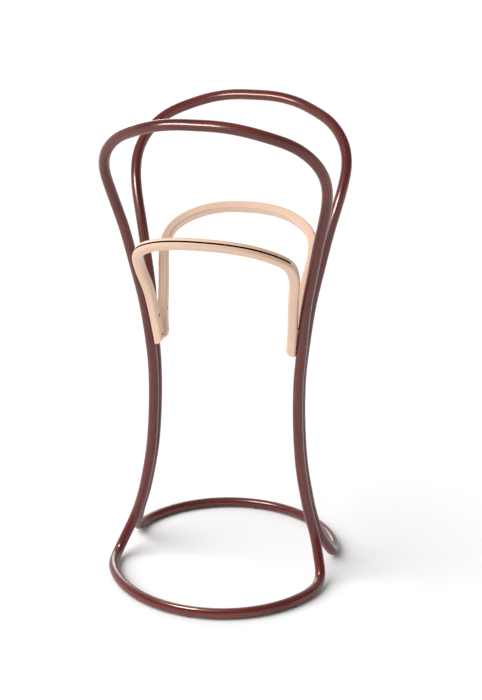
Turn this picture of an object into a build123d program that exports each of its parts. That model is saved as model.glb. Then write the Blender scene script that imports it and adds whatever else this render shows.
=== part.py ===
from build123d import *
from math import cos, radians, sin, tan
import os

# Valet stand of bent wood. Two tall loops of round rod stand back to back and are screwed
# together where their legs touch. At the top each loop bends away from the other, into a hoop
# that carries clothes, and at the bottom it bends into a bow that lies on the floor. A pale
# square bar, bent into an arch, is screwed between the legs of each hoop.
# Units are millimetres. X runs across the stand, the front faces -Y, Z is up, and the origin is
# on the floor in the middle of the base.

# Driving dimensions of the dark rods
stand_height = 1100
base_depth = 602
rod_diameter = 24
loop_gap = 0.4                  # between the front and rear legs, where they lie side by side
waist_height = 440              # where the legs are closest and each hoop meets its bow
waist_half_width = 174          # from the middle of the stand to the middle of a leg
bow_radius = 261                # of the bow on the floor, to the middle of the rod
bow_end_angle = 65              # where the bow's arc ends, from its foremost point
foot_run = 21                   # from the end of the arc to the next corner of the middle line
bend_share = 0.48               # the share of a run that a bend at one end may take
floor_clearance = 1             # between the floor and the underside of the rod

# Driving dimensions of the pale bars and their grip strips
bar_width = 22
bar_edge_radius = 5
bar_end_radius = 16             # at the inner corner of each leg's end
bar_face_tilt = 43              # how far the bar's outer face looks up in the middle, degrees
strip_width = 4
strip_depth = 2.5               # how deep the strip sits in its groove
strip_stand_out = 0.5
strip_reach = 0.42              # the share of each half bar that carries the strip
strip_end_gap = 0.4             # between each end of the strip and the end of its groove

# Driving dimensions of the fittings
fit_gap = 0.05                  # all round a dowel, screw, plug, stem or strip
spare_depth = 1                 # by which a hole is deeper than what goes into it
dowel_diameter = 10
dowel_length = 80
dowel_chamfer = 1
leg_screw_diameter = 5
leg_screw_head_diameter = 9
leg_screw_length = 32
leg_screw_recess = 6            # how deep the head lies under the rear leg's surface
leg_plug_diameter = 10
leg_plug_length = 5.5
bar_screw_diameter = 4
bar_screw_head_diameter = 8
bar_screw_length = 35
bar_screw_recess = 1.5          # how deep the head lies under the bar's inner face
bar_screw_places = (21, 71)     # from the cut end of the bar's leg, along the bar
countersink_angle = 82
socket_width = 3                # of the hexagon socket in each screw head, across its flats
socket_depth = 2
glide_diameter = 12
glide_height = 2.5
glide_chamfer = 0.6             # round the face that it slides on
glide_recess_gap = 0.5          # round the glide's head, in the rod
glide_stem_diameter = 5
glide_stem_length = 8
side_glide_angle = 55           # from the foremost glide, around the bow

# Derived dimensions
rod_radius = rod_diameter / 2
leg_y = -(rod_radius + loop_gap / 2)
crown_z = stand_height - rod_radius
floor_z = floor_clearance + rod_radius
bow_front_y = -(base_depth / 2 - rod_radius)
bow_middle_y = bow_front_y + bow_radius
half_bar = bar_width / 2

# Each middle line is straight runs joined by bends, and the points are where the runs would meet.
# Front hoop's right half, from the crown down to the waist
hoop_corners = [
    (52, -222, crown_z),
    (113, -211, 1077),
    (194, -170, 1046),
    (233, -138, 1006),
    (248, -109, 962),
    (244, -82, 914),
    (234, -66, 866),
    (222, -55, 818),
    (190, -29, 653),
    (182.5, -15.5, 572),
    (waist_half_width, leg_y, 487),
    (waist_half_width, leg_y, waist_height),
]

# Front bow's right leg, from the heel up to the waist. It bends up off the floor, leans back
# against the rear leg and stays beside it.
leg_corners = [
    (252, -66, 17.5),
    (224, -13, 95),
    (205, leg_y, 155),
    (182, leg_y, 270),
    (waist_half_width, leg_y, 390),
    (waist_half_width, leg_y, waist_height),
]

# Front bar's right half, from its middle down to the cut end of its leg
bar_corners = [
    (0, -186, 830),
    (42, -186, 830),
    (102, -172, 821),
    (149, -146, 802),
    (174.5, -112, 778),
    (178, -83, 740),
    (167, -51, 678),
    (162, -27, 607),
    (156.4, -14.5, 544.5),
]

# Right leg's X and Z at each screw that joins the front and rear legs
leg_screw_hoop_place = (174.7, 500)
leg_screw_bow_places = [(174.5, 380), (190.5, 230)]


def both_sides(right_half):
    """Points of a right half, carried on over the middle to the left side."""
    return [(-x, y, z) for x, y, z in reversed(right_half)] + right_half


def bend_radii(points):
    """Radius of the bend at each inner point: the largest that the runs beside it leave room for."""
    points = [Vector(point) for point in points]
    runs = [after - before for before, after in zip(points, points[1:])]
    room = [bend_share * run.length for run in runs]
    room[0], room[-1] = 2 * room[0], 2 * room[-1]
    turns = [radians(run.get_angle(after)) for run, after in zip(runs, runs[1:])]
    return [
        min(before, after) / tan(turn / 2) for before, after, turn in zip(room, room[1:], turns)
    ]


# Paths of the rods and of half a bar
with BuildLine() as hoop_path:
    hoop_points = both_sides(hoop_corners)
    FilletPolyline(*hoop_points, radius=bend_radii(hoop_points))

with BuildLine() as bow_path:
    floor_arc = CenterArc(
        (0, bow_middle_y, floor_z), bow_radius, -90 - bow_end_angle, 2 * bow_end_angle
    )
    foot_corner = floor_arc @ 1 + floor_arc % 1 * foot_run
    leg_points = [floor_arc @ 1, foot_corner] + leg_corners
    leg = FilletPolyline(*leg_points, radius=bend_radii(leg_points))
    mirror(leg, about=Plane.YZ)

with BuildLine() as bar_path:
    FilletPolyline(*bar_corners, radius=bend_radii(bar_corners))
hoop_line = hoop_path.wire()
bow_line = bow_path.wire()
bar_line = bar_path.wire()

# Places of the fittings
leg_xs = (-waist_half_width, waist_half_width)
bar_middle = Plane(
    bar_corners[0],
    x_dir=(0, -cos(radians(bar_face_tilt)), sin(radians(bar_face_tilt))),
    z_dir=(1, 0, 0),
)
standing = (Align.CENTER, Align.CENTER, Align.MIN)


def left_and_right(plane):
    """The plane itself, on the right side of the stand, and its mirror image on the left."""
    origin, x_dir, z_dir = plane.origin, plane.x_dir, plane.z_dir
    left = Plane(
        (-origin.X, origin.Y, origin.Z),
        x_dir=(-x_dir.X, x_dir.Y, x_dir.Z),
        z_dir=(-z_dir.X, z_dir.Y, z_dir.Z),
    )
    return [plane, left]


def outward_from(along):
    """Direction across the bar's leg, square to it, away from the middle of the stand."""
    return (Vector(1, 0, 0) - along * along.X).normalized()


def bar_screw_plane(from_end):
    """Plane under a bar screw's head, in the right leg of the bar, looking in between the legs."""
    place = 1 - from_end / bar_line.length
    along = bar_line % place
    outward = outward_from(along)
    head_depth = half_bar - bar_screw_recess
    return Plane(bar_line @ place - outward * head_depth, x_dir=along, z_dir=-outward)


right_bar_screws = [bar_screw_plane(from_end) for from_end in bar_screw_places]
bar_screws = [plane for right in right_bar_screws for plane in left_and_right(right)]

# A leg screw's plane lies on the rear surface of the rear leg, looking back
rear_y = rod_radius - leg_y
hoop_screws = left_and_right(
    Plane((leg_screw_hoop_place[0], rear_y, leg_screw_hoop_place[1]), z_dir=(0, 1, 0))
)
bow_screws = [
    plane
    for x, z in leg_screw_bow_places
    for plane in left_and_right(Plane((x, rear_y, z), z_dir=(0, 1, 0)))
]

# Glides of the front bow: one foremost and one on each side
glide_angles = [radians(side_glide_angle * side) for side in (-1, 0, 1)]
glide_places = [
    (bow_radius * sin(angle), bow_middle_y - bow_radius * cos(angle), 0) for angle in glide_angles
]


def head_planes(planes):
    """Planes of leg screws, moved in to the flat tops of their heads."""
    return [plane.offset(-leg_screw_recess) for plane in planes]


def countersunk_screw(diameter, head_diameter, length):
    """Wood screw with the flat top of its head at the origin and its tip pointing down."""
    shank, head = diameter / 2, head_diameter / 2
    cone_height = (head - shank) / tan(radians(countersink_angle / 2))
    with BuildPart() as screw:
        with BuildSketch(Plane.XZ):
            with BuildLine():
                Polyline(
                    (0, 0),
                    (head, 0),
                    (shank, -cone_height),
                    (shank, diameter - length),
                    (0, -length),
                    close=True,
                )
            make_face()
        revolve(axis=Axis.Z)
        with BuildSketch():
            RegularPolygon(socket_width / 2, 6, major_radius=False)
        extrude(amount=-socket_depth, mode=Mode.SUBTRACT)
    return screw.part


bar_screw = countersunk_screw(bar_screw_diameter, bar_screw_head_diameter, bar_screw_length)
leg_screw = countersunk_screw(leg_screw_diameter, leg_screw_head_diameter, leg_screw_length)

# Bent rods, drilled only for what both the front and the rear one have
with BuildPart() as hoop_blank:
    with BuildSketch(Plane(hoop_line @ 0, z_dir=hoop_line % 0)):
        Circle(rod_radius)
    sweep(path=hoop_line)
    with Locations([Plane((x, leg_y, waist_height), z_dir=(0, 0, -1)) for x in leg_xs]):
        Hole(dowel_diameter / 2 + fit_gap, depth=dowel_length / 2 + spare_depth)
    with Locations(bar_screws):
        Hole(bar_screw_diameter / 2 + fit_gap, depth=bar_screw_length + spare_depth)

with BuildPart() as bow_blank:
    with BuildSketch(Plane(bow_line @ 0, z_dir=bow_line % 0)):
        Circle(rod_radius)
    sweep(path=bow_line)
    with Locations([Plane((x, leg_y, waist_height)) for x in leg_xs]):
        Hole(dowel_diameter / 2 + fit_gap, depth=dowel_length / 2 + spare_depth)
    with Locations(glide_places):
        Cylinder(
            glide_diameter / 2 + glide_recess_gap, glide_height, align=standing, mode=Mode.SUBTRACT
        )
        Cylinder(
            glide_stem_diameter / 2 + fit_gap,
            glide_height + glide_stem_length + spare_depth,
            align=standing,
            mode=Mode.SUBTRACT,
        )

with BuildPart() as rear_hoop_blank:
    mirror(hoop_blank.part, about=Plane.XZ)

with BuildPart() as rear_bow_blank:
    mirror(bow_blank.part, about=Plane.XZ)

# The front loop: the leg screws end in it
with BuildPart() as front_upper_hoop:
    add(hoop_blank.part)
    with Locations(head_planes(hoop_screws)):
        Hole(leg_screw_diameter / 2 + fit_gap, depth=leg_screw_length + spare_depth)

with BuildPart() as front_base_bow:
    add(bow_blank.part)
    with Locations(head_planes(bow_screws)):
        Hole(leg_screw_diameter / 2 + fit_gap, depth=leg_screw_length + spare_depth)

# The rear loop: the leg screws go through it, with their heads sunk under plugs
with BuildPart() as rear_upper_hoop:
    add(rear_hoop_blank.part)
    with Locations(hoop_screws):
        Hole(leg_plug_diameter / 2 + fit_gap, depth=leg_screw_recess)
    with Locations(head_planes(hoop_screws)):
        CounterSinkHole(
            leg_screw_diameter / 2 + fit_gap,
            leg_screw_head_diameter / 2 + fit_gap,
            depth=leg_screw_length,
            counter_sink_angle=countersink_angle,
        )

with BuildPart() as rear_base_bow:
    add(rear_bow_blank.part)
    with Locations(bow_screws):
        Hole(leg_plug_diameter / 2 + fit_gap, depth=leg_screw_recess)
    with Locations(head_planes(bow_screws)):
        CounterSinkHole(
            leg_screw_diameter / 2 + fit_gap,
            leg_screw_head_diameter / 2 + fit_gap,
            depth=leg_screw_length,
            counter_sink_angle=countersink_angle,
        )

# Leg screws and the plugs over them, cut flush with the rod
with BuildPart() as hoop_leg_screws:
    with Locations(head_planes(hoop_screws)):
        add(leg_screw)

with BuildPart() as bow_leg_screws:
    with Locations(head_planes(bow_screws)):
        add(leg_screw)

with BuildPart() as hoop_screw_plugs:
    with Locations([plane.offset(-leg_plug_length) for plane in hoop_screws]):
        Cylinder(leg_plug_diameter / 2, leg_plug_length, align=standing)
    add(rear_hoop_blank.part, mode=Mode.INTERSECT)

with BuildPart() as bow_screw_plugs:
    with Locations([plane.offset(-leg_plug_length) for plane in bow_screws]):
        Cylinder(leg_plug_diameter / 2, leg_plug_length, align=standing)
    add(rear_bow_blank.part, mode=Mode.INTERSECT)

# Dowels in the middle of the legs, across the joint at the waist
with BuildPart() as front_leg_dowels:
    with Locations([(x, leg_y, waist_height) for x in leg_xs]):
        Cylinder(dowel_diameter / 2, dowel_length)
    chamfer(front_leg_dowels.edges().filter_by(GeomType.CIRCLE), dowel_chamfer)

with BuildPart() as rear_leg_dowels:
    mirror(front_leg_dowels.part, about=Plane.XZ)

# Pale bar with the groove for its grip strip. The right half is made first.
leg_end = bar_line @ 1
leg_end_along = bar_line % 1
leg_end_inward = -outward_from(leg_end_along)
corner_middle = (
    leg_end + leg_end_inward * (half_bar - bar_end_radius) - leg_end_along * bar_end_radius
)
cutter_side = 1.2 * bar_end_radius      # enough to clear the leg's corner

with BuildPart() as front_trouser_bar:
    with BuildSketch(bar_middle):
        RectangleRounded(bar_width, bar_width, bar_edge_radius)
    sweep(path=bar_line)
    with BuildSketch(
        Plane(corner_middle, x_dir=leg_end_inward, z_dir=leg_end_inward.cross(leg_end_along))
    ):
        with BuildLine():
            corner = CenterArc((0, 0), bar_end_radius, 0, 90)
            Polyline(
                corner @ 1,
                (0, cutter_side),
                (cutter_side, cutter_side),
                (cutter_side, 0),
                corner @ 0,
            )
        make_face()
    extrude(amount=bar_width, both=True, mode=Mode.SUBTRACT)
    with BuildSketch(bar_middle):
        with Locations((half_bar - strip_depth, 0)):
            Rectangle(bar_width, strip_width + 2 * fit_gap, align=(Align.MIN, Align.CENTER))
    sweep(path=bar_line.trim(0, strip_reach), mode=Mode.SUBTRACT)
    with Locations(right_bar_screws):
        CounterSinkHole(
            bar_screw_diameter / 2 + fit_gap,
            bar_screw_head_diameter / 2 + fit_gap,
            depth=bar_screw_length,
            counter_sink_angle=countersink_angle,
        )
    mirror(about=Plane.YZ)

with BuildPart() as rear_trouser_bar:
    mirror(front_trouser_bar.part, about=Plane.XZ)

# Grip strip in the bar's groove
with BuildPart() as front_grip_strip:
    with BuildSketch(bar_middle):
        with Locations((half_bar - strip_depth + fit_gap, 0)):
            Rectangle(
                strip_depth - fit_gap + strip_stand_out,
                strip_width,
                align=(Align.MIN, Align.CENTER),
            )
    sweep(path=bar_line.trim(0, strip_reach - strip_end_gap / bar_line.length))
    mirror(about=Plane.YZ)

with BuildPart() as rear_grip_strip:
    mirror(front_grip_strip.part, about=Plane.XZ)

# Screws of the bars
with BuildPart() as front_bar_screws:
    with Locations(bar_screws):
        add(bar_screw)

with BuildPart() as rear_bar_screws:
    mirror(front_bar_screws.part, about=Plane.XZ)

# Glides: a flat head under the rod and a stem pushed up into it
with BuildPart() as front_glides:
    with Locations(glide_places):
        Cylinder(glide_diameter / 2, glide_height, align=standing)
    chamfer(front_glides.edges().group_by(Axis.Z)[0], glide_chamfer)
    with Locations([(x, y, glide_height) for x, y, z in glide_places]):
        Cylinder(glide_stem_diameter / 2, glide_stem_length, align=standing)

with BuildPart() as rear_glides:
    mirror(front_glides.part, about=Plane.XZ)

pieces = {
    "front_upper_hoop": front_upper_hoop,
    "rear_upper_hoop": rear_upper_hoop,
    "front_base_bow": front_base_bow,
    "rear_base_bow": rear_base_bow,
    "front_leg_dowels": front_leg_dowels,
    "rear_leg_dowels": rear_leg_dowels,
    "hoop_leg_screws": hoop_leg_screws,
    "bow_leg_screws": bow_leg_screws,
    "hoop_screw_plugs": hoop_screw_plugs,
    "bow_screw_plugs": bow_screw_plugs,
    "front_trouser_bar": front_trouser_bar,
    "rear_trouser_bar": rear_trouser_bar,
    "front_grip_strip": front_grip_strip,
    "rear_grip_strip": rear_grip_strip,
    "front_bar_screws": front_bar_screws,
    "rear_bar_screws": rear_bar_screws,
    "front_glides": front_glides,
    "rear_glides": rear_glides,
}
os.makedirs("parts", exist_ok=True)
for name, piece in pieces.items():
    piece.part.label = name
    export_step(piece.part, f"parts/{name}.step")
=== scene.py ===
from collections import namedtuple
from math import ceil, cos, pi, radians, sin, sqrt, tan

import bpy
import numpy as np
from mathutils import Matrix, Vector, kdtree


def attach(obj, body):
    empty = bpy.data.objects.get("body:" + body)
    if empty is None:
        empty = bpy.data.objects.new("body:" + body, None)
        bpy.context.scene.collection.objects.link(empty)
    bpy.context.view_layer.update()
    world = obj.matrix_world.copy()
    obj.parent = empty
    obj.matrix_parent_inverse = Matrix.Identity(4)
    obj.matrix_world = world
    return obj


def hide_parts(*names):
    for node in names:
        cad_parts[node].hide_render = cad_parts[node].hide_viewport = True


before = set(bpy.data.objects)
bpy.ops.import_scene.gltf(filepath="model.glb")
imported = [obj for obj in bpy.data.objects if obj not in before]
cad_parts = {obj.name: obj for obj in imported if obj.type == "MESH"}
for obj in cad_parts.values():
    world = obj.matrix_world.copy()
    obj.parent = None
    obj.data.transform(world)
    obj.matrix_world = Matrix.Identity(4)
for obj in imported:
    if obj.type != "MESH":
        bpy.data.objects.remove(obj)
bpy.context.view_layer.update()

# Valet stand of bent wood. The dark rods and the pale bars are built here, each as one smooth skin
# round the same middle line as in the design. Every point of a skin remembers where it lay in the
# straight stick before bending, and the wood's grain is drawn in that stick, so that it follows
# the bends. Screws, plugs, dowels and glides are the design's own nodes, with finishes.
# Lengths are in metres, and +X is to the right seen from the front, which faces -Y.

MM = 0.001

# Middle lines, as in the design: straight runs joined by bends, the right half only. The corners
# and LEG_Y are written in millimetres.
LEG_Y = -12.2
HOOP_CORNERS = np.array([
    (52, -222, 1088),
    (113, -211, 1077),
    (194, -170, 1046),
    (233, -138, 1006),
    (248, -109, 962),
    (244, -82, 914),
    (234, -66, 866),
    (222, -55, 818),
    (190, -29, 653),
    (182.5, -15.5, 572),
    (174, LEG_Y, 487),
    (174, LEG_Y, 440),
]) * MM
LEG_CORNERS = np.array([
    (252, -66, 17.5),
    (224, -13, 95),
    (205, LEG_Y, 155),
    (182, LEG_Y, 270),
    (174, LEG_Y, 390),
    (174, LEG_Y, 440),
]) * MM
BAR_CORNERS = np.array([
    (42, -186, 830),
    (102, -172, 821),
    (149, -146, 802),
    (174.5, -112, 778),
    (178, -83, 740),
    (167, -51, 678),
    (162, -27, 607),
    (156.4, -14.5, 544.5),
]) * MM
BOW_RADIUS = 261 * MM
BOW_MIDDLE_Y = -28 * MM
BOW_END_ANGLE = radians(65)
FLOOR_ROD_Z = 13 * MM
FOOT_RUN = 21 * MM
BEND_SHARE = 0.48               # the share of a run that a bend at one end may take
LINE_STEP = 1 * MM              # between the points of a middle line
HOOP_SOFTENING = 22 * MM        # how far a bend is blended into the runs beside it
BOW_SOFTENING = 14 * MM
BAR_SOFTENING = 10 * MM

FIT_GAP = 0.05 * MM             # round a plug, a screw or a strip in the wood

# Dark rods
ROD_RADIUS = 12 * MM
ROD_SIDES = 48
ROD_RING_STEP = 3 * MM
ROD_END_EASE = 0.2 * MM         # rounding round the end of a rod, at the waist
HOOP_SCREWS = [(174.7 * MM, 500 * MM)]
BOW_SCREWS = [(174.5 * MM, 380 * MM), (190.5 * MM, 230 * MM)]
PLUG_HOLE_RADIUS = 5 * MM + FIT_GAP
PLUG_HOLE_DEPTH = 6 * MM

# Pale bars and their grip strips
BAR_HALF = 11 * MM
BAR_EDGE_RADIUS = 5 * MM
BAR_END_RADIUS = 16 * MM        # at the inner corner of each leg's end
BAR_END_EASE = 0.7 * MM         # rounding all round the cut end
BAR_FACE_TILT = radians(43)     # how far the outer face looks up in the middle
BAR_RING_STEP = 2 * MM
STRIP_HALF_WIDTH = 2 * MM
STRIP_STAND_OUT = 0.5 * MM
GROOVE_HALF_WIDTH = STRIP_HALF_WIDTH + FIT_GAP
GROOVE_DEPTH = 2.5 * MM
GROOVE_LIP = 0.35 * MM          # rounding along the groove's edges
STRIP_REACH = 0.42              # the share of each half bar that carries the strip
BAR_SCREW_PLACES = (21 * MM, 71 * MM)
SCREW_HEAD_RADIUS = 4 * MM + FIT_GAP
SCREW_RECESS = 1.5 * MM
SCREW_HOLE_RADIUS = 2 * MM + FIT_GAP
SCREW_HOLE_DEPTH = 8 * MM
COUNTERSINK = radians(41)       # half the angle of the screw head's cone
CUTTER_REACH = 4 * MM           # how far a hole's cutter stands out of the wood
CUTTER_SIDES = 64

# Where each stick was cut from in its plank, so that no two show the same grain
STICKS = {
    "front_upper_hoop": (0.11, 0.02, 0.0),
    "rear_upper_hoop": (0.33, -0.07, 3.1),
    "front_base_bow": (0.62, 0.05, 6.3),
    "rear_base_bow": (0.91, -0.03, 9.4),
    "front_trouser_bar": (0.07, 0.016, 1.2),
    "rear_trouser_bar": (0.29, -0.021, 4.4),
}

# A middle line: its points, the directions ahead, outward and across at each of them, and how far
# along the line each one is
Line = namedtuple("Line", "points ahead out across along")


# ------------------------------------------------------------------ middle lines

def unit(vector):
    return vector / np.linalg.norm(vector)


def bent(corners):
    """Points along straight runs whose corners are rounded as far as the runs leave room."""
    runs = np.diff(corners, axis=0)
    room = BEND_SHARE * np.linalg.norm(runs, axis=1)
    room[[0, -1]] *= 2              # the first and last runs have a bend at one end only
    points = [corners[0]]
    for index, corner in enumerate(corners[1:-1]):
        back, ahead = -unit(runs[index]), unit(runs[index + 1])
        turn = np.arccos(np.clip(-ahead @ back, -1, 1))
        reach = min(room[index], room[index + 1])
        radius = reach / tan(turn / 2)
        middle = corner + unit(ahead + back) * radius / cos(turn / 2)
        start = unit(corner + back * reach - middle)
        side = -back
        for angle in np.linspace(0, turn, max(3, ceil(radius * turn / LINE_STEP))):
            points.append(middle + radius * (cos(angle) * start + sin(angle) * side))
    points.append(corners[-1])
    return np.array(points)


def distances(points):
    """Distance of each point from the first one, along the line."""
    return np.r_[0, np.cumsum(np.linalg.norm(np.diff(points, axis=0), axis=1))]


def at(places, along, values):
    """Values of a line, at places between its points."""
    return np.stack([np.interp(places, along, column) for column in values.T], 1)


def softened(points, softening):
    """The line at even steps, with its bends blended into its runs. Its ends stay in place."""
    along = distances(points)
    count = int(round(along[-1] / LINE_STEP))
    points = at(np.linspace(0, along[-1], count + 1), along, points)
    reach = int(3 * softening / LINE_STEP)
    steps = np.arange(1, reach + 1)[:, None]
    weights = np.exp(-0.5 * (np.arange(-reach, reach + 1) * LINE_STEP / softening) ** 2)
    weights /= weights.sum()

    def blurred(line):
        before = line[0] + (line[0] - line[1]) * steps[::-1]
        after = line[-1] + (line[-1] - line[-2]) * steps
        longer = np.vstack([before, line, after])
        return np.stack([np.convolve(column, weights, "valid") for column in longer.T], 1)

    # A plain blur pulls the line inside its bends, so what it takes away is added first
    return blurred(2 * points - blurred(points))


def framed(points, first_out):
    """A line with a direction out of it, carried along from its start without twisting."""
    ahead = np.gradient(points, axis=0)
    ahead /= np.linalg.norm(ahead, axis=1)[:, None]
    out = [unit(first_out - (first_out @ ahead[0]) * ahead[0])]
    for now in ahead[1:]:
        out.append(unit(out[-1] - (out[-1] @ now) * now))
    out = np.array(out)
    return Line(points, ahead, out, np.cross(ahead, out), distances(points))


def whole(right_half):
    """Points from the left end over the middle to the right end."""
    return np.vstack([right_half[::-1] * (-1, 1, 1), right_half])


def hoop_line():
    """The front hoop's middle line, from the left end at the waist to the right one."""
    points = softened(bent(whole(HOOP_CORNERS)), HOOP_SOFTENING)
    crown_height = HOOP_CORNERS[0][2]
    points[:, 2] = np.minimum(points[:, 2], crown_height)     # softening doesn't make it taller
    return framed(points, np.array([-1.0, 0, 0]))


def bow_line():
    """The front bow's middle line: an arc on the floor, and legs that rise from its ends."""
    angles = np.linspace(0, BOW_END_ANGLE, 300)[1:]
    arc = np.stack([
        BOW_RADIUS * np.sin(angles),
        BOW_MIDDLE_Y - BOW_RADIUS * np.cos(angles),
        np.full(len(angles), FLOOR_ROD_Z),
    ], 1)
    off_arc = arc[-1] + FOOT_RUN * np.array([cos(BOW_END_ANGLE), sin(BOW_END_ANGLE), 0])
    leg = bent(np.vstack([arc[-1], off_arc, LEG_CORNERS]))
    line = softened(whole(np.vstack([arc, leg[1:]])), BOW_SOFTENING)
    return framed(line, np.array([-1.0, 0, 0]))


def bar_line():
    """The bar's middle line. Its outward direction starts in the middle and is mirrored."""
    points = softened(bent(whole(BAR_CORNERS)), BAR_SOFTENING)
    middle = len(points) // 2
    right = framed(points[middle:], np.array([0, -cos(BAR_FACE_TILT), sin(BAR_FACE_TILT)]))
    out = np.vstack([(right.out * (-1, 1, 1))[:0:-1], right.out])
    points = np.vstack([(right.points * (-1, 1, 1))[:0:-1], right.points])
    ahead = np.vstack([(right.ahead * (1, -1, -1))[:0:-1], right.ahead])
    return Line(points, ahead, out, np.cross(ahead, out), distances(points))


def to_rear(line):
    """The same line at the rear of the stand."""
    flip = np.array([1, -1, 1])
    ahead, out = line.ahead * flip, line.out * flip
    return Line(line.points * flip, ahead, out, np.cross(ahead, out), line.along)


# ------------------------------------------------------------------ skins

def new_piece(name, points, faces):
    mesh = bpy.data.meshes.new(name)
    mesh.from_pydata([tuple(point) for point in points], [], faces)
    mesh.update()
    piece = bpy.data.objects.new(name, mesh)
    bpy.context.scene.collection.objects.link(piece)
    return piece


def closed_skin(name, rings):
    """A closed skin over rings of equally many points, with flat ends."""
    sides = len(rings[0])
    faces = []
    for ring in range(len(rings) - 1):
        low, high = ring * sides, (ring + 1) * sides
        for side in range(sides):
            after = (side + 1) % sides
            faces.append((low + side, low + after, high + after, high + side))
    last = (len(rings) - 1) * sides
    faces.append(tuple(reversed(range(sides))))
    faces.append(tuple(range(last, last + sides)))
    return new_piece(name, np.concatenate(rings), faces)


def rings_along(line, places, outline):
    """A ring of points at each place on the line. outline(place) gives a ring's points as
    (outward, across) pairs."""
    points = at(places, line.along, line.points)
    out = at(places, line.along, line.out)
    across = at(places, line.along, line.across)
    rings = []
    for index, place in enumerate(places):
        pairs = np.array(outline(place))
        outward = np.outer(pairs[:, 0], out[index])
        sideways = np.outer(pairs[:, 1], across[index])
        rings.append(points[index] + outward + sideways)
    return rings


def drill(piece, cutters):
    """Cuts the cutters' shapes out of the piece, and removes the cutters."""
    for cutter in cutters:
        cut = piece.modifiers.new("cut", "BOOLEAN")
        cut.object = cutter
        cut.solver = "EXACT"
    bpy.context.view_layer.update()
    graph = bpy.context.evaluated_depsgraph_get()
    mesh = bpy.data.meshes.new_from_object(piece.evaluated_get(graph))
    piece.modifiers.clear()
    old, piece.data = piece.data, mesh
    bpy.data.meshes.remove(old)
    mesh.name = piece.name
    for cutter in cutters:
        data = cutter.data
        bpy.data.objects.remove(cutter)
        bpy.data.meshes.remove(data)


def cutter_at(mouth, inward, profile):
    """A turned cutter. profile lists (depth under the mouth, radius), from outside inwards."""
    side = unit(np.cross(inward, (0.31, 0.95, 0.12)))
    across = np.cross(inward, side)
    angles = np.arange(CUTTER_SIDES) * 2 * pi / CUTTER_SIDES
    circle = np.outer(np.cos(angles), side) + np.outer(np.sin(angles), across)
    return closed_skin("cutter", [mouth + depth * inward + radius * circle for depth, radius in profile])


def remember_grain(piece, line, stick):
    """Gives each point its place in the straight stick: outward, across and along."""
    tree = kdtree.KDTree(len(line.points))
    for index, point in enumerate(line.points):
        tree.insert(point, index)
    tree.balance()
    vertices = piece.data.vertices
    places = np.empty(len(vertices) * 3)
    vertices.foreach_get("co", places)
    places = places.reshape(-1, 3)
    nearest = np.array([tree.find(place)[1] for place in places])
    offset = places - line.points[nearest]
    grain = np.stack([
        (offset * line.out[nearest]).sum(1),
        (offset * line.across[nearest]).sum(1),
        line.along[nearest] + (offset * line.ahead[nearest]).sum(1),
    ], 1)
    layer = piece.data.attributes.new("grain", "FLOAT_VECTOR", "POINT")
    layer.data.foreach_set("vector", (grain + stick).astype(np.float32).ravel())


def take_place(piece, node, material, sharp=35):
    """Shades the piece, paints it and puts it in the place of its node."""
    piece.data.shade_smooth()
    piece.data.set_sharp_from_angle(angle=radians(sharp))
    piece.data.materials.clear()
    piece.data.materials.append(material)
    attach(piece, "root")
    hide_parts(node)


def rod(node, line, material, plug_places=()):
    """A round rod, with counterbores at plug_places in the leg's rear surface."""
    length = line.along[-1]
    angles = np.arange(ROD_SIDES) * 2 * pi / ROD_SIDES
    circle = np.stack([np.cos(angles), np.sin(angles)], 1)
    inner = np.linspace(0, length, int(length / ROD_RING_STEP))[1:-1]
    places = np.r_[0, ROD_END_EASE, inner, length - ROD_END_EASE, length]

    def outline(place):
        at_end = place in (0, length)
        return circle * (ROD_RADIUS - ROD_END_EASE if at_end else ROD_RADIUS)

    piece = closed_skin(node + "_rod", rings_along(line, places, outline))
    inward = np.array([0, -1.0, 0])
    rear_surface = ROD_RADIUS - LEG_Y * MM
    profile = [(-CUTTER_REACH, PLUG_HOLE_RADIUS), (PLUG_HOLE_DEPTH, PLUG_HOLE_RADIUS)]
    cutters = [
        cutter_at(np.array([side * x, rear_surface, z]), inward, profile)
        for x, z in plug_places
        for side in (-1, 1)
    ]
    if cutters:
        drill(piece, cutters)
    remember_grain(piece, line, STICKS[node])
    take_place(piece, node, material)


def rounding(to_end, radius):
    """How far a surface stands back, at this distance from an end rounded by this radius."""
    left = radius - min(max(to_end, 0), radius)
    return radius - sqrt(radius ** 2 - left ** 2)


def slot_half_width(to_end, half_width):
    """Half the width of a slot or strip near its end, which is a half circle."""
    left = half_width - min(to_end, half_width)
    return max(sqrt(half_width ** 2 - left ** 2), 0.15 * half_width)


def round_end_places(radius, count):
    """Distances from an end rounded by this radius, evenly spaced round the arc."""
    return radius * (1 - np.cos(np.linspace(0, pi / 2, count)))


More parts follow.
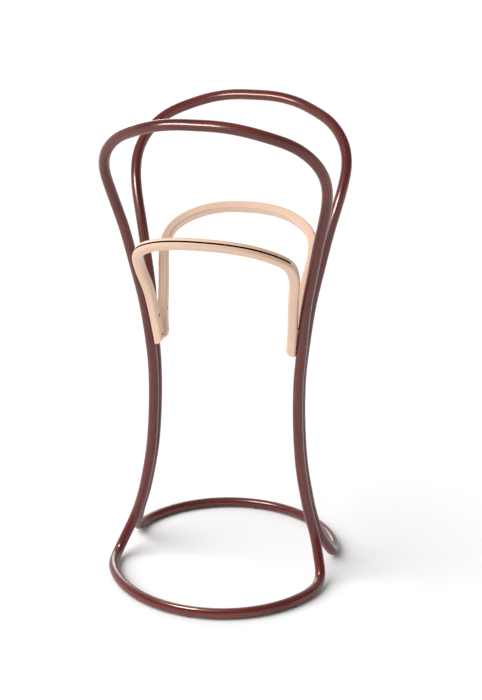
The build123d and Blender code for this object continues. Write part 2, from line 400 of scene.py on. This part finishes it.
def bar_outline(to_end, groove):
    """Outline of the bar. groove is half its width, or None past the groove's ends."""
    back = rounding(to_end, BAR_END_EASE)
    half = BAR_HALF - back
    flat = BAR_HALF - BAR_EDGE_RADIUS
    inner = half - rounding(to_end, BAR_END_RADIUS)
    if groove is None:
        edges = [(half, wide * GROOVE_HALF_WIDTH) for wide in (0.5, 1, 1.1, 1.25, 1.6)]
    else:
        edges = [
            (half - GROOVE_DEPTH, groove),
            (half - GROOVE_LIP, groove),
            (half - 0.3 * GROOVE_LIP, groove + 0.3 * GROOVE_LIP),
            (half, groove + GROOVE_LIP),
            (half, groove + 2.5 * GROOVE_LIP),
        ]
    outline = [(out, -across) for out, across in reversed(edges)] + edges
    steps = np.linspace(0, pi / 2, 8)
    centres = [(flat, flat), (-flat, flat), (-flat, -flat), (flat, -flat)]
    for quarter, (out, across) in enumerate(centres):
        turn = quarter * pi / 2
        corner = [
            (out + (half - flat) * cos(turn + step), across + (half - flat) * sin(turn + step))
            for step in steps
        ]
        outline += corner
        if quarter < 3:
            start = np.array(corner[-1])
            away = np.array([-sin(turn + pi / 2), cos(turn + pi / 2)])
            outline += [tuple(start + away * flat * share) for share in (0.5, 1, 1.5)]
    return [(max(out, -inner), across) for out, across in outline]


def bar(node, line, material):
    """The bent bar with its groove, its cut ends and the recesses of its screws."""
    length = line.along[-1]
    half_length = length / 2
    groove_end = STRIP_REACH * half_length
    leg_end = half_length - round_end_places(BAR_END_RADIUS, 18)
    slot_end = groove_end - round_end_places(GROOVE_HALF_WIDTH, 7)
    past_slot = groove_end + 0.02 * MM
    plain = np.arange(0, leg_end[-1] - 0.5 * BAR_RING_STEP, BAR_RING_STEP)
    plain = plain[np.abs(plain - groove_end) > 1.3 * BAR_RING_STEP]
    half_places = np.unique(np.r_[plain, slot_end, past_slot, leg_end])
    places = np.r_[-half_places[:0:-1], half_places] + half_length

    def outline(place):
        from_middle = abs(place - half_length)
        to_end = max(half_length - from_middle, 0)
        to_groove_end = groove_end - from_middle
        groove = None
        if to_groove_end > -0.01 * MM:
            groove = slot_half_width(max(to_groove_end, 0), GROOVE_HALF_WIDTH)
        return bar_outline(to_end, groove)

    piece = closed_skin(node + "_arch", rings_along(line, places, outline))
    cone_depth = (SCREW_HEAD_RADIUS - SCREW_HOLE_RADIUS) / tan(COUNTERSINK)
    profile = [
        (-CUTTER_REACH, SCREW_HEAD_RADIUS),
        (SCREW_RECESS, SCREW_HEAD_RADIUS),
        (SCREW_RECESS + cone_depth, SCREW_HOLE_RADIUS),
        (SCREW_HOLE_DEPTH, SCREW_HOLE_RADIUS),
    ]
    cutters = []
    for side in (-1, 1):
        for from_end in BAR_SCREW_PLACES:
            place = [from_end if side < 0 else length - from_end]
            middle = at(place, line.along, line.points)[0]
            ahead = at(place, line.along, line.ahead)[0]
            outward = unit(np.array([side, 0, 0]) - side * ahead[0] * ahead)
            cutters.append(cutter_at(middle - outward * BAR_HALF, outward, profile))
    drill(piece, cutters)
    remember_grain(piece, line, STICKS[node])
    take_place(piece, node, material, sharp=30)


def grip_strip(node, line, material):
    """The dark strip seated in the bar's groove, slightly domed."""
    half_length = line.along[-1] / 2
    reach = STRIP_REACH * half_length - 0.1 * MM
    strip_end = reach - round_end_places(STRIP_HALF_WIDTH, 7)
    plain = np.arange(0, strip_end[-1] - 0.3 * BAR_RING_STEP, BAR_RING_STEP)
    half_places = np.unique(np.r_[plain, strip_end])
    places = np.r_[-half_places[:0:-1], half_places] + half_length

    def outline(place):
        to_end = reach - abs(place - half_length)
        wide = slot_half_width(max(to_end, 0), STRIP_HALF_WIDTH)
        top = BAR_HALF + STRIP_STAND_OUT - rounding(to_end, STRIP_STAND_OUT)
        left = [
            (BAR_HALF - GROOVE_DEPTH + FIT_GAP, -wide),
            (top - 0.5 * MM, -wide),
            (top - 0.2 * MM, -wide * 0.9),
            (top - 0.05 * MM, -wide * 0.62),
            (top, -wide * 0.25),
        ]
        return left + [(out, -across) for out, across in reversed(left)]

    piece = closed_skin(node + "_inlay", rings_along(line, places, outline))
    remember_grain(piece, line, (0, 0, 0))
    take_place(piece, node, material, sharp=50)


# ------------------------------------------------------------------ finishes

class Finish:
    """A material, with short ways to add its nodes."""

    def __init__(self, name, **constants):
        self.material = bpy.data.materials.new(name)
        self.material.use_nodes = True
        self.tree = self.material.node_tree
        self.shader = self.tree.nodes["Principled BSDF"]
        for key, value in constants.items():
            self.shader.inputs[key.replace("_", " ")].default_value = value

    def add(self, kind, inputs, **settings):
        """A node, with its inputs linked to sockets or set to values."""
        made = self.tree.nodes.new("ShaderNode" + kind)
        for name, value in settings.items():
            setattr(made, name, value)
        for key, value in inputs.items():
            if isinstance(value, bpy.types.NodeSocket):
                self.tree.links.new(value, made.inputs[key])
            else:
                made.inputs[key].default_value = value
        return made

    def scaled(self, vector, factors):
        return self.add("VectorMath", {0: vector, 1: factors}, operation="MULTIPLY").outputs[0]

    def noise(self, vector, factors, detail=2.0):
        """Noise whose cells are 1 / factors metres large."""
        inputs = {"Vector": self.scaled(vector, factors), "Scale": 1.0, "Detail": detail}
        return self.add("TexNoise", inputs).outputs[0]

    def between(self, factor, low, high):
        """0 where the factor is low, and 1 where it is high."""
        inputs = {"Value": factor, "From Min": low, "From Max": high}
        return self.add("MapRange", inputs).outputs[0]

    def weighed(self, *parts):
        """The sum of factors times their weights."""
        total = 0.0
        for factor, weight in parts:
            inputs = {0: factor, 1: weight, 2: total}
            total = self.add("Math", inputs, operation="MULTIPLY_ADD").outputs[0]
        return total

    def ramp(self, factor, *stops):
        """A colour for each factor, from stops of (factor, colour)."""
        ramp = self.add("ValToRGB", {"Fac": factor})
        elements = ramp.color_ramp.elements
        while len(elements) < len(stops):
            elements.new(0.5)
        for element, (position, _) in zip(elements, stops):
            element.position = position
        for element, (_, colour) in zip(elements, stops):
            element.color = (*colour, 1)
        return ramp.outputs[0]

    def darkened(self, colour, factor, shade):
        """The colour, times shade where the factor is 1."""
        inputs = {0: factor, 6: colour, 7: (*shade, 1)}
        return self.add("Mix", inputs, data_type="RGBA", blend_type="MULTIPLY").outputs[2]

    def surface(self, colour, roughness, height, depth):
        """Links the shader. depth is how deep the bumps are, in metres."""
        self.tree.links.new(colour, self.shader.inputs["Base Color"])
        self.tree.links.new(roughness, self.shader.inputs["Roughness"])
        bump = self.add("Bump", {"Height": height, "Distance": depth, "Strength": 1.0})
        self.tree.links.new(bump.outputs[0], self.shader.inputs["Normal"])
        return self.material


def in_stick(finish):
    """Where a point lay in the straight stick: outward, across, along."""
    return finish.add("Attribute", {}, attribute_name="grain").outputs["Vector"]


def in_place(finish):
    """Where a point is on the stand."""
    return finish.add("TexCoord", {}).outputs["Object"]


def wood_figure(wood, stick):
    """Growth rings, long streaks, fine lines and pores, all drawn out along the stick."""
    slow = {"Vector": wood.scaled(stick, (30, 30, 2.5)), "Scale": 1.0, "Detail": 2.0}
    wander = wood.add("TexNoise", slow).outputs[1]
    shifted = {0: wander, 1: (0.005, 0.005, 0), 2: stick}
    wandering = wood.add("VectorMath", shifted, operation="MULTIPLY_ADD").outputs[0]
    drawn_out = wood.scaled(wandering, (1, 1, 0.03))
    waves = {"Vector": drawn_out, "Scale": 105.0, "Distortion": 2.2, "Detail": 2.0}
    rings = wood.add("TexWave", waves, wave_type="RINGS", rings_direction="Z").outputs[1]
    streaks = wood.noise(stick, (240, 240, 6), 4)
    lines = wood.noise(stick, (1300, 1300, 24), 3)
    pores = wood.noise(stick, (3000, 3000, 210), 1)
    return rings, streaks, lines, pores


def stained_wood(name, place):
    """Beech, stained dark red and varnished half gloss."""
    wood = Finish(name, IOR=1.5, Specular_IOR_Level=0.4, Coat_Weight=0.3, Coat_Roughness=0.1)
    stick = place(wood)
    rings, streaks, lines, pores = wood_figure(wood, stick)
    patches = wood.noise(stick, (14, 14, 7))
    tone = wood.weighed((rings, 0.2), (streaks, 0.36), (lines, 0.26), (patches, 0.18))
    colour = wood.ramp(
        tone,
        (0.34, (0.039, 0.0055, 0.0052)),
        (0.48, (0.102, 0.0148, 0.0122)),
        (0.66, (0.190, 0.0355, 0.0262)),
    )
    open_pores = wood.between(pores, 0.6, 0.72)
    colour = wood.darkened(colour, open_pores, (0.5, 0.42, 0.42))
    handled = wood.noise(stick, (60, 60, 14), 3)
    roughness = wood.weighed((handled, 0.16), (lines, 0.1), (0.13, 1.0))
    height = wood.weighed((lines, 0.5), (open_pores, -0.5))
    return wood.surface(colour, roughness, height, 0.03 * MM)


def pale_wood(name, place, polish):
    """Natural beech with its short rays. polish is the lowest roughness."""
    wood = Finish(name, IOR=1.48)
    stick = place(wood)
    rings, streaks, lines, pores = wood_figure(wood, stick)
    tone = wood.weighed((rings, 0.34), (streaks, 0.38), (lines, 0.28))
    colour = wood.ramp(
        tone,
        (0.3, (0.67, 0.44, 0.31)),
        (0.5, (0.76, 0.53, 0.40)),
        (0.7, (0.82, 0.605, 0.475)),
    )
    rays = wood.between(wood.noise(stick, (2400, 900, 330), 1), 0.64, 0.72)
    colour = wood.darkened(colour, rays, (0.74, 0.62, 0.52))
    colour = wood.darkened(colour, wood.between(pores, 0.66, 0.8), (0.86, 0.8, 0.74))
    roughness = wood.weighed((lines, 0.14), (streaks, 0.1), (polish, 1.0))
    height = wood.weighed((lines, 0.5), (rays, -0.3))
    return wood.surface(colour, roughness, height, 0.03 * MM)


def rubber(name):
    """Dark rubber with a fine grit, a little dusty."""
    skin = Finish(name, IOR=1.5, Specular_IOR_Level=0.12)
    stick = in_stick(skin)
    grit = skin.noise(stick, (2200, 2200, 2200), 3)
    dust = skin.noise(stick, (120, 120, 40), 3)
    colour = skin.ramp(dust, (0.35, (0.003, 0.0013, 0.001)), (0.7, (0.008, 0.0046, 0.0035)))
    roughness = skin.weighed((dust, 0.2), (0.42, 1.0))
    return skin.surface(colour, roughness, grit, 0.05 * MM)


def blackened_steel(name):
    """Black zinc on steel, worn a little brighter in patches."""
    steel = Finish(name, Metallic=1.0)
    place = in_place(steel)
    patches = steel.noise(place, (700, 700, 700), 3)
    scratches = steel.noise(place, (900, 5200, 5200), 2)
    colour = steel.ramp(patches, (0.35, (0.045, 0.045, 0.05)), (0.72, (0.13, 0.128, 0.125)))
    roughness = steel.weighed((patches, 0.22), (scratches, 0.12), (0.2, 1.0))
    return steel.surface(colour, roughness, scratches, 0.02 * MM)


def moulded_plastic(name):
    """Dark plastic with a fine moulded grain, scuffed underneath."""
    plastic = Finish(name, IOR=1.49)
    place = in_place(plastic)
    stipple = plastic.noise(place, (1800, 1800, 1800), 2)
    scuffs = plastic.noise(place, (260, 900, 260), 4)
    colour = plastic.ramp(scuffs, (0.4, (0.018, 0.016, 0.015)), (0.75, (0.06, 0.055, 0.05)))
    roughness = plastic.weighed((scuffs, 0.25), (0.36, 1.0))
    return plastic.surface(colour, roughness, stipple, 0.06 * MM)


def paint(node, material):
    """Gives one of the design's own nodes its finish."""
    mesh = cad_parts[node].data
    mesh.materials.clear()
    mesh.materials.append(material)


stained = stained_wood("stained_beech", in_stick)
pale = pale_wood("natural_beech", in_stick, 0.3)
strip_rubber = rubber("dark_rubber")
plug_wood = stained_wood("stained_beech_plugs", in_place)
dowel_wood = pale_wood("dowel_beech", in_place, 0.5)
steel = blackened_steel("black_steel")
plastic = moulded_plastic("dark_plastic")


# ------------------------------------------------------------------ the stand

hoop, bow, middle = hoop_line(), bow_line(), bar_line()
rod("front_upper_hoop", hoop, stained)
rod("front_base_bow", bow, stained)
rod("rear_upper_hoop", to_rear(hoop), stained, HOOP_SCREWS)
rod("rear_base_bow", to_rear(bow), stained, BOW_SCREWS)
for node_start, line in (("front", middle), ("rear", to_rear(middle))):
    bar(node_start + "_trouser_bar", line, pale)
    grip_strip(node_start + "_grip_strip", line, strip_rubber)
    paint(node_start + "_bar_screws", steel)
    paint(node_start + "_glides", plastic)
    paint(node_start + "_leg_dowels", dowel_wood)
for node in ("hoop_leg_screws", "bow_leg_screws"):
    paint(node, steel)
for node in ("hoop_screw_plugs", "bow_screw_plugs"):
    paint(node, plug_wood)


# ------------------------------------------------------------------ studio

ROSY = (1.0, 0.76, 0.72)
SILVERY = (1.0, 0.96, 0.95)
HOOP_RODS = ["front_upper_hoop_rod", "rear_upper_hoop_rod"]
FRONT_BOW_ROD = ["front_base_bow_rod"]
REAR_BOW_ROD = ["rear_base_bow_rod"]
ALL_RODS = HOOP_RODS + FRONT_BOW_ROD + REAR_BOW_ROD
CAMERA_PLACE = (0.8086, -2.8166, 1.5465)
CAMERA_YAW, CAMERA_PITCH, CAMERA_ROLL = radians(15.3633), radians(19.0421), radians(0.4345)
FOCAL_LENGTH = 69.2


def studio_floor():
    """A pale floor that reaches far behind the stand in every view."""
    reach = 80
    corners = [(-reach, -reach, 0), (reach, -reach, 0), (reach, reach, 0), (-reach, reach, 0)]
    floor = new_piece("studio_floor", corners, [(0, 1, 2, 3)])
    white = (0.97, 0.97, 0.97, 1)
    matt = Finish("studio_floor", Base_Color=white, Roughness=0.9, Specular_IOR_Level=0.1)
    floor.data.materials.append(matt.material)


def aimed(name, data, place, target):
    """A new light that shines from place to target."""
    thing = bpy.data.objects.new(name, data)
    thing.location = place
    thing.rotation_euler = (Vector(target) - Vector(place)).to_track_quat("-Z", "Y").to_euler()
    bpy.context.scene.collection.objects.link(thing)
    return thing


def studio_world():
    """White walls behind and low down all round, and a dimmer room above the front."""
    sky = bpy.data.worlds.new("studio")
    sky.use_nodes = True
    nodes, links = sky.node_tree.nodes, sky.node_tree.links
    direction = nodes.new("ShaderNodeTexCoord").outputs["Generated"]

    def part(facing, start, end, low, high):
        """Goes from low to high as the direction turns to face that way."""
        turned = nodes.new("ShaderNodeVectorMath")
        turned.operation = "DOT_PRODUCT"
        turned.inputs[1].default_value = facing
        links.new(direction, turned.inputs[0])
        eased = nodes.new("ShaderNodeMapRange")
        eased.interpolation_type = "SMOOTHSTEP"
        eased.inputs["From Min"].default_value = start
        eased.inputs["From Max"].default_value = end
        eased.inputs["To Min"].default_value = low
        eased.inputs["To Max"].default_value = high
        links.new(turned.outputs["Value"], eased.inputs["Value"])
        return eased.outputs[0]

    brighter = nodes.new("ShaderNodeMath")
    brighter.operation = "MAXIMUM"
    rear_wall = part((-0.35, 0.8, -0.45), -0.3, 0.65, 0.18, 0.95)
    horizon = part((0, 0, 1), 0.1, 0.32, 1.0, 0)
    links.new(rear_wall, brighter.inputs[0])
    links.new(horizon, brighter.inputs[1])
    links.new(brighter.outputs[0], nodes["Background"].inputs["Strength"])
    nodes["Background"].inputs["Color"].default_value = (1, 1, 1, 1)
    bpy.context.scene.world = sky


def soft_key():
    """The main light, from the front left. Other lights make the highlights."""
    sun = bpy.data.lights.new("soft_key", "SUN")
    sun.energy = 3.4
    sun.angle = radians(60)
    key = aimed("soft_key", sun, (-2.4, -1.9, 3.1), (0, 0, 0))
    key.visible_glossy = False


def glint(name, place, target, size, power, receivers, colour=ROSY):
    """A soft box that is seen only in the varnish of the named rods."""
    light = bpy.data.lights.new(name, "AREA")
    light.shape = "RECTANGLE"
    light.size, light.size_y = size
    light.energy = power
    light.color = colour
    lamp = aimed(name, light, place, target)
    lamp.visible_diffuse = False
    lamp.visible_camera = False
    group = bpy.data.collections.new(name)
    for receiver in receivers:
        group.objects.link(bpy.data.objects[receiver])
    lamp.light_linking.receiver_collection = group


def place_camera():
    """Looks at the stand from the front right and a little above."""
    lens = bpy.data.cameras.new("camera")
    lens.lens = FOCAL_LENGTH
    lens.clip_end = 300
    camera = bpy.data.objects.new("camera", lens)
    camera.matrix_world = (
        Matrix.Translation(CAMERA_PLACE)
        @ Matrix.Rotation(CAMERA_YAW, 4, "Z")
        @ Matrix.Rotation(pi / 2 - CAMERA_PITCH, 4, "X")
        @ Matrix.Rotation(CAMERA_ROLL, 4, "Z")
    )
    bpy.context.scene.collection.objects.link(camera)
    bpy.context.scene.camera = camera


studio_floor()
studio_world()
soft_key()

# Middles of the front crown, the front bow and the rear bow, which the soft boxes point at
crown = Vector((0, *HOOP_CORNERS[0][1:]))
front_ring = Vector((0, BOW_MIDDLE_Y - BOW_RADIUS, FLOOR_ROD_Z))
rear_ring = Vector((0, BOW_RADIUS - BOW_MIDDLE_Y, FLOOR_ROD_Z))
glint("front_box", crown + Vector((-0.66, -1.44, 0.63)), crown, (1.2, 0.5), 80, HOOP_RODS)
glint("top_box", front_ring + Vector((-0.66, 0, 2.09)), front_ring, (0.45, 0.5), 58, FRONT_BOW_ROD)
glint("middle_box", rear_ring + Vector((-0.62, -0.84, 1.94)), rear_ring, (0.55, 0.5), 95, REAR_BOW_ROD)
glint("rear_window", (-1.4, 2.1, 1.25), (0, 0, 0.1), (1.3, 0.8), 18, ALL_RODS, SILVERY)

place_camera()
bpy.context.scene.view_settings.view_transform = "Standard"
